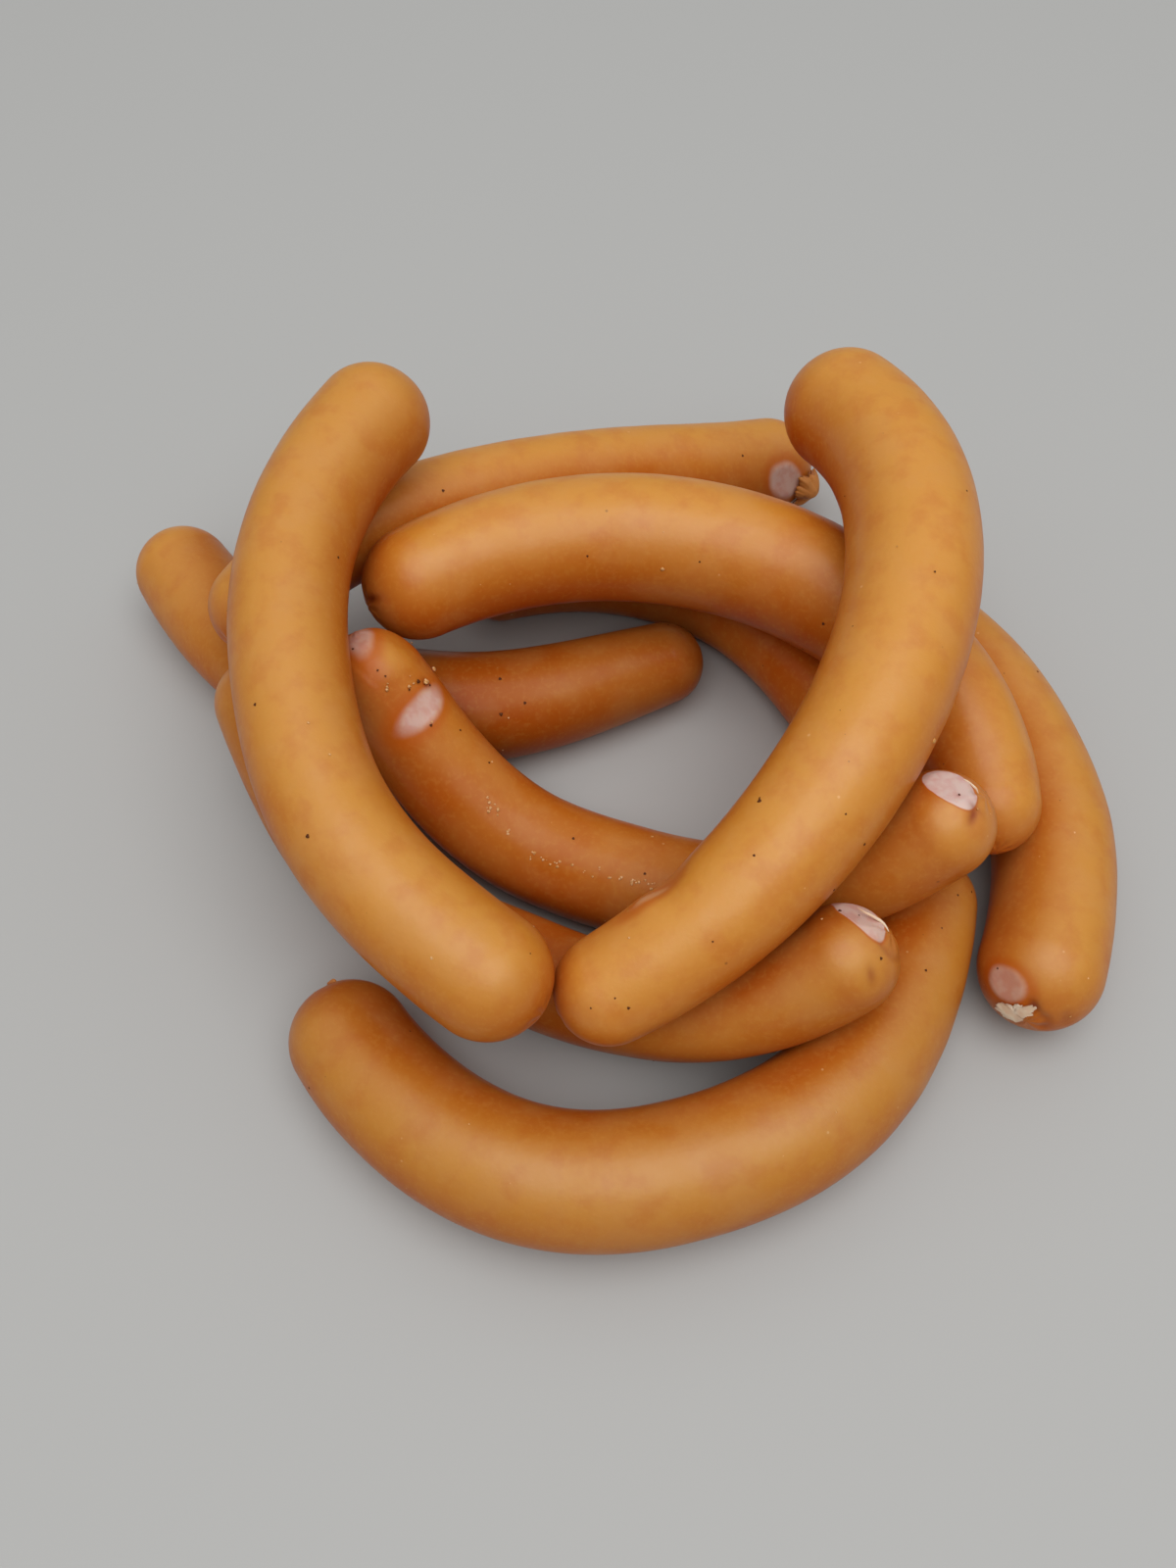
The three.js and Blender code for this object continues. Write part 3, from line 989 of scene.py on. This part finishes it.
def build_crumbs(settings, rng):
    """The crumbs, pores and flecks that lie on the skin, the flecks also painted glints along a sheen, and
    specks scattered over all links.
    """
    given = {"dark": [], "light": []}
    for crumb in CRUMBS:
        point, normal, _, _ = SKINS[crumb.link].spot(crumb.reach, crumb.around)
        given[crumb.kind].append((point, normal, crumb.radius, CRUMB_FLATNESS[crumb.kind]))
    # The flecks also paint glints along the middle link's sheen.
    for flecks in FLECKS:
        for share in rng.random(flecks.count):
            reach = np.interp(share, (0, 1), flecks.reach)
            around = np.interp(share, (0, 1), flecks.around) + rng.normal(0, flecks.stray)
            point, normal, _, _ = SKINS[flecks.link].spot(reach, around)
            given["light"].append((point, normal, rng.uniform(*FLECK_RADII), FLECK_FLATNESS))
    for skin in SKINS.values():
        for _ in range(settings.specks):
            reach = rng.uniform(CLEAR_OF_TIP, skin.total - CLEAR_OF_TIP)
            point, normal, _, _ = skin.spot(reach, rng.uniform(-180, 180))
            kind = "dark" if rng.random() < DARK_SPECK_SHARE else "light"
            radius = rng.uniform(*SPECK_RADII)
            if point[2] > CLEAR_OF_FLOOR:
                given[kind].append((point, normal, radius, SPECK_FLATNESS))
    tones = {
        "dark": ("pepper", crumb_material("pepper", tuple(settings.dark), linear((98, 52, 18)))),
        "light": ("crumbs", crumb_material("crumbs", tuple(settings.light), linear((196, 140, 70)))),
    }
    for kind, (name, material) in tones.items():
        points, normals, radii, flatness = (np.array(part) for part in zip(*given[kind]))
        vertices, rows, sides, count = lumps(points, normals, radii, flatness, rng)
        quads, triangles = tube_faces(rows, sides)
        each = rows * sides + 2
        build_mesh(name, vertices, repeated(quads, each, count), repeated(triangles, each, count), material)


def build_stage(settings):
    """A pale floor, an overcast sky that is brighter overhead, a broad soft lamp and the camera."""
    scene = bpy.context.scene
    mesh = bpy.data.meshes.new("floor")
    corners = [(x * FLOOR_HALF, y * FLOOR_HALF, 0) for x, y in ((-1, -1), (1, -1), (1, 1), (-1, 1))]
    mesh.from_pydata(corners, [], [(0, 1, 2, 3)])
    floor = bpy.data.objects.new("floor", mesh)
    scene.collection.objects.link(floor)
    shader = Shader("pale_floor")
    shader.set(Base_Color=tuple(settings.floor), Roughness=0.7)
    mesh.materials.append(shader.material)

    world = bpy.data.worlds.new("overcast_sky")
    world.use_nodes = True
    tree = world.node_tree
    way = tree.nodes.new("ShaderNodeTexCoord")
    split = tree.nodes.new("ShaderNodeSeparateXYZ")
    ramp = tree.nodes.new("ShaderNodeMapRange")
    tree.links.new(way.outputs["Generated"], split.inputs[0])
    tree.links.new(split.outputs["Z"], ramp.inputs["Value"])
    ramp.inputs["To Min"].default_value = settings.horizon * settings.sky
    ramp.inputs["To Max"].default_value = settings.sky
    background = tree.nodes["Background"]
    background.inputs["Color"].default_value = (1, 1, 1, 1)
    tree.links.new(ramp.outputs[0], background.inputs["Strength"])
    scene.world = world

    lamp = bpy.data.lights.new("overhead", "AREA")
    lamp.shape = "DISK"
    lamp.size = LAMP_SIZE
    lamp.energy = settings.lamp
    overhead = bpy.data.objects.new("overhead", lamp)
    overhead.location = LAMP_AT
    overhead.rotation_euler = np.radians(LAMP_TURN)
    scene.collection.objects.link(overhead)

    camera = bpy.data.cameras.new("camera")
    camera.lens = settings.lens
    camera.sensor_width = 36
    camera_object = bpy.data.objects.new("camera", camera)
    camera_object.location = (np.array(CAMERA_AT) + OFFSET) * MM
    camera_object.rotation_euler = (math.pi / 2 - settings.pitch, 0, 0)
    scene.collection.objects.link(camera_object)
    scene.camera = camera_object
    scene.view_settings.view_transform = "Standard"


# The add-on.


def color_property(name, description, screen_color):
    return FloatVectorProperty(name=name, description=description, default=linear(screen_color),
                               subtype="COLOR", size=3, min=0, max=1)


class SausageSkinSettings(PropertyGroup):
    """Colours and sizes of the links' skin."""

    # Golden and deep paint light and shade: golden where the skin faces the sky, deep on its sides and
    # between the links.
    golden: color_property("Golden skin", "Skin that lies open to the sky", (208, 140, 46))
    deep: color_property("Deep skin", "Skin on the sides and between the links", (186, 88, 18))
    honey: color_property("Clouds", "Paler golden clouds in the skin", (213, 147, 65))
    peach: color_property("Patches", "Duller peach patches in the skin", (206, 142, 78))
    pale_dot: color_property("Pale dots", "Pin dots of fat under the skin", (234, 186, 126))
    pepper: color_property("Dark dots", "Pin dots of pepper under the skin", (112, 58, 16))
    touch_mark: color_property("Touch marks", "Pale spots where links hung together", (216, 188, 178))
    touch_blush: color_property("Touch mark shade", "The rosier tone within a touch mark", (210, 166, 156))
    # Painted shade in pits and creases.
    hollow: color_property("Hollows", "Skin in pits and creases", (142, 56, 14))
    swelling: FloatProperty(name="Swelling", description="How far the skin swells unevenly",
                            default=0.3 * MM, min=0, max=2 * MM, unit="LENGTH", subtype="DISTANCE",
                            precision=5)
    roughness: FloatProperty(name="Roughness", description="Roughness of the skin", default=0.42, min=0,
                             max=1, subtype="FACTOR")
    coat: FloatProperty(name="Moisture", description="How much thin moist gloss lies on the skin",
                        default=0.04, min=0, max=1, subtype="FACTOR")


class SausageCasingSettings(PropertyGroup):
    """Colours of the torn casing."""

    pale: color_property("Pale casing", "Dry torn casing", (236, 214, 186))
    shade: color_property("Casing shade", "Folds and thin spots in the dry casing", (222, 182, 148))
    browned: color_property("Browned casing", "Torn casing with its smoked colour", (198, 126, 52))


class SausageCrumbSettings(PropertyGroup):
    """Colours and number of the crumbs and pepper."""

    dark: color_property("Pepper", "Pepper and pores", (78, 34, 10))
    light: color_property("Crumbs", "Crumbs of meat and fat", (232, 184, 134))
    specks: IntProperty(name="Specks", description="Specks scattered over each link", default=20, min=0,
                        max=200)


class SausageStageSettings(PropertyGroup):
    """Floor, light and camera."""

    floor: color_property("Floor", "The plain pale floor", (177, 177, 175))
    sky: FloatProperty(name="Sky", description="Brightness of the sky overhead", default=0.84, min=0,
                       max=10)
    horizon: FloatProperty(name="Horizon", description="The horizon's share of the sky's brightness",
                           default=0.15, min=0, max=1, subtype="FACTOR")
    lamp: FloatProperty(name="Lamp", description="Power of the broad overhead lamp", default=13, min=0,
                        unit="POWER")
    lens: FloatProperty(name="Lens", description="Focal length of the camera", default=31.05, min=1,
                        unit="CAMERA")
    pitch: FloatProperty(name="Pitch", description="How far the camera looks down", default=math.radians(59),
                         min=0, max=math.pi / 2, subtype="ANGLE", unit="ROTATION")


class SAUSAGE_OT_skins(Operator):
    """Build the skins of all links, with their marks"""

    bl_idname = "sausage.skins"
    bl_label = "Build Skins"

    def execute(self, context):
        build_skins(context.scene.sausage_skin, np.random.default_rng(SEED))
        return {"FINISHED"}


class SAUSAGE_OT_scraps(Operator):
    """Build the torn scraps of casing at two link ends"""

    bl_idname = "sausage.scraps"
    bl_label = "Build Torn Scraps"

    def execute(self, context):
        build_scraps(context.scene.sausage_casing, np.random.default_rng(SEED + 1))
        return {"FINISHED"}


class SAUSAGE_OT_rims(Operator):
    """Build the thin torn edges that stand up at the tips"""

    bl_idname = "sausage.rims"
    bl_label = "Build Torn Rims"

    def execute(self, context):
        build_rims(context.scene.sausage_casing, np.random.default_rng(SEED + 2))
        return {"FINISHED"}


class SAUSAGE_OT_crumbs(Operator):
    """Build the crumbs and the pepper on the skins"""

    bl_idname = "sausage.crumbs"
    bl_label = "Build Crumbs"

    def execute(self, context):
        build_crumbs(context.scene.sausage_crumbs, np.random.default_rng(SEED + 3))
        return {"FINISHED"}


class SAUSAGE_OT_stage(Operator):
    """Build the floor, the light and the camera"""

    bl_idname = "sausage.stage"
    bl_label = "Build Stage"

    def execute(self, context):
        build_stage(context.scene.sausage_stage)
        return {"FINISHED"}


OPERATORS = (SAUSAGE_OT_skins, SAUSAGE_OT_scraps, SAUSAGE_OT_rims, SAUSAGE_OT_crumbs, SAUSAGE_OT_stage)
SETTINGS = {
    "sausage_skin": SausageSkinSettings,
    "sausage_casing": SausageCasingSettings,
    "sausage_crumbs": SausageCrumbSettings,
    "sausage_stage": SausageStageSettings,
}


class VIEW3D_PT_sausages(Panel):
    """The heap's settings and steps"""

    bl_idname = "VIEW3D_PT_sausages"
    bl_label = "Sausage Links"
    bl_space_type = "VIEW_3D"
    bl_region_type = "UI"
    bl_category = "Sausages"

    def draw(self, context):
        for attribute, group in SETTINGS.items():
            box = self.layout.box()
            for name in group.__annotations__:
                box.prop(getattr(context.scene, attribute), name)
        for operator in OPERATORS:
            self.layout.operator(operator.bl_idname)


def register():
    for group in (*SETTINGS.values(), *OPERATORS, VIEW3D_PT_sausages):
        bpy.utils.register_class(group)
    for attribute, group in SETTINGS.items():
        setattr(bpy.types.Scene, attribute, PointerProperty(type=group))


def unregister():
    for attribute in SETTINGS:
        delattr(bpy.types.Scene, attribute)
    for group in (VIEW3D_PT_sausages, *reversed(OPERATORS), *reversed(SETTINGS.values())):
        bpy.utils.unregister_class(group)


def main():
    register()
    bpy.ops.sausage.skins()
    bpy.ops.sausage.scraps()
    bpy.ops.sausage.rims()
    bpy.ops.sausage.crumbs()
    bpy.ops.sausage.stage()


if __name__ == "__main__":
    main()
